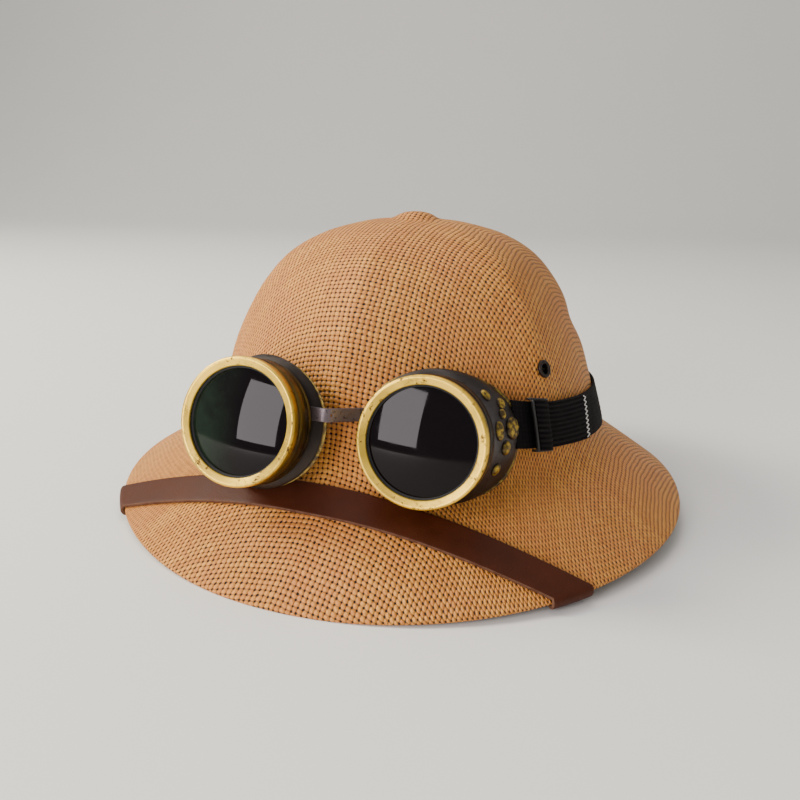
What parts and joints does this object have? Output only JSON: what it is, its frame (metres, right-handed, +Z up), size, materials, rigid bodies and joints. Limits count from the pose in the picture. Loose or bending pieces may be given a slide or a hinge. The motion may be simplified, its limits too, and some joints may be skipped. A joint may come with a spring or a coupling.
{
  "type": "pith helmet with goggles",
  "caption": "Woven straw sun helmet with a ridged crown, sloping brim, leather strap over the brim and round-lensed goggles held by an elastic strap.",
  "frame": {"origin": "on the surface that the brim rests on, below the middle of the brim", "axes": "+Z up, -Y toward the front of the helmet, +X toward the wearer's left"},
  "size_m": [0.3006, 0.3246, 0.1501],
  "materials": {
    "straw": "woven straw, matt, golden tan",
    "leather": "smooth, semi-gloss, dark red-brown",
    "black_elastic": "ribbed webbing, matt",
    "aged_brass": "antique brass plating with specks and rubbed edges",
    "dark_bronze": "dark bronze plating with rubbed high spots",
    "gunmetal": "dark, slightly worn",
    "dark_lens": "near black, polished, faint green tint",
    "black_rubber": "matt",
    "black_plastic": "satin"
  },
  "bodies": {
    "root": {"helmet_shell": "straw", "brim_strap": "leather", "strap_rivet_left": "gunmetal", "strap_rivet_right": "gunmetal", "vent_eyelet_left": "gunmetal", "vent_eyelet_right": "gunmetal", "goggle_cup_left": "dark_bronze", "goggle_cup_right": "dark_bronze", "bezel_ring_left": "aged_brass", "bezel_ring_right": "aged_brass", "lens_gasket_left": "black_rubber", "lens_gasket_right": "black_rubber", "lens_left": "dark_lens", "lens_right": "dark_lens", "nose_bridge": "gunmetal", "elastic_strap": "black_elastic", "elastic_tail": "black_elastic", "strap_slider": "black_plastic"}
  },
  "joints": []
}
